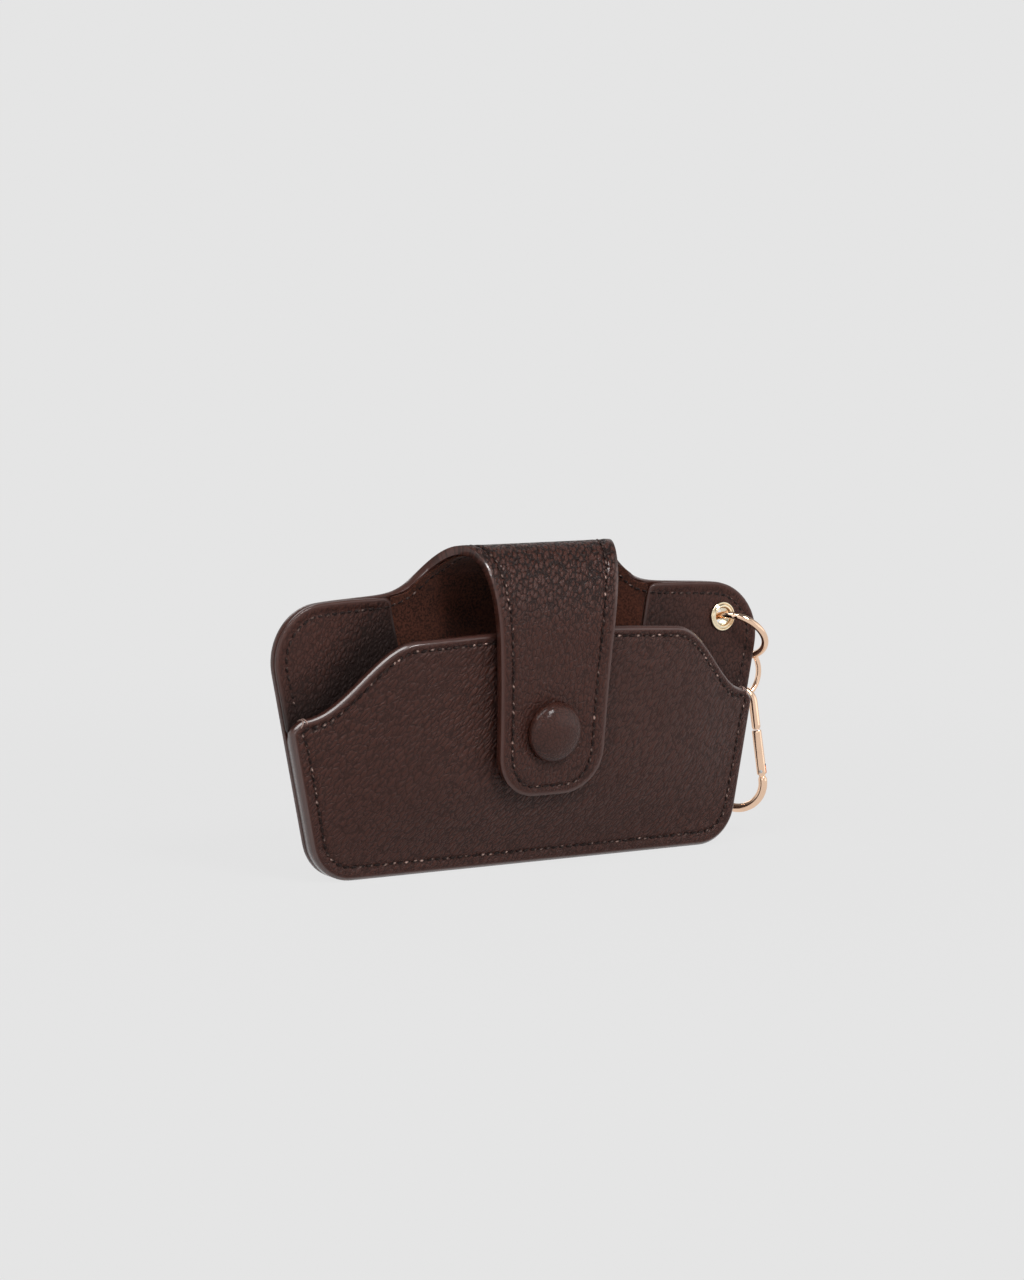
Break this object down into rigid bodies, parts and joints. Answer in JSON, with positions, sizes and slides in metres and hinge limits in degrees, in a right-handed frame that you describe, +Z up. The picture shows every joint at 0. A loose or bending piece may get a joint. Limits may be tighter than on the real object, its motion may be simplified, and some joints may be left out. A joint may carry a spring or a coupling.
{
  "type": "glasses case",
  "caption": "Upright leather slip case for glasses: bulged front pocket, strap over the mouth closed by a covered snap, and a sprung clip hung on rings from an eyelet in one corner.",
  "frame": {"origin": "middle of the back panel's bottom edge, on the surface the case stands on", "axes": "+X along the case to the side with the clip, +Y out of the back, +Z up; the snap button faces -Y"},
  "size_m": [0.186, 0.0367, 0.1007],
  "materials": {
    "brown_leather": "fine pebbled grain, dark brown, semi-matt",
    "suede_lining": "reddish brown suede",
    "grey_board": "plain grey board",
    "gold_metal": "polished pale gold plating",
    "steel_wire": "bright steel"
  },
  "bodies": {
    "pouch": {"back_outer": "brown_leather", "back_board": "grey_board", "back_lining": "suede_lining", "corner_facing_left": "brown_leather", "corner_facing_right": "brown_leather", "front_outer": "brown_leather", "front_board": "grey_board", "front_lining": "suede_lining", "eyelet": "gold_metal", "eyelet_washer": "gold_metal", "snap_stud": "gold_metal", "snap_stud_rivet": "gold_metal"},
    "strap": {"strap_outer": "brown_leather", "strap_stiffener": "grey_board", "strap_lining": "suede_lining", "snap_cap_cover": "brown_leather", "snap_cap": "gold_metal", "snap_socket": "gold_metal", "snap_spring": "steel_wire"},
    "ring": {"eyelet_ring": "gold_metal"},
    "link": {"connector_ring": "gold_metal"},
    "clip": {"clip_frame": "gold_metal", "gate_pin": "steel_wire"},
    "gate": {"clip_gate": "gold_metal", "gate_plunger": "steel_wire", "gate_spring": "steel_wire"}
  },
  "joints": [
    {"name": "strap_fold", "type": "hinge", "parent": "pouch", "child": "strap", "pos_m": [0, 0.00755, 0.08815], "axis": [-1, 0, 0], "range_deg": [0, 150]},
    {"name": "ring_swing", "type": "hinge", "parent": "pouch", "child": "ring", "pos_m": [0.07524, 0.0026, 0.073], "axis": [0, -1, 0], "range_deg": [0, 115]},
    {"name": "link_swing", "type": "hinge", "parent": "ring", "child": "link", "pos_m": [0.08792, 0.0063, 0.05882], "axis": [0.5644, -0.8255, 0], "range_deg": [-3, 50]},
    {"name": "clip_swing", "type": "hinge", "parent": "link", "child": "clip", "pos_m": [0.08792, 0.0063, 0.04497], "axis": [0.9903, 0.1392, 0], "range_deg": [-12, 40]},
    {"name": "gate_pivot", "type": "hinge", "parent": "clip", "child": "gate", "pos_m": [0.09342, 0.0008, 0.02119], "axis": [-0.7071, -0.7071, 0], "range_deg": [0, 25], "stiffness_Nm_per_rad": 0.01, "springref_deg": -17.19}
  ]
}
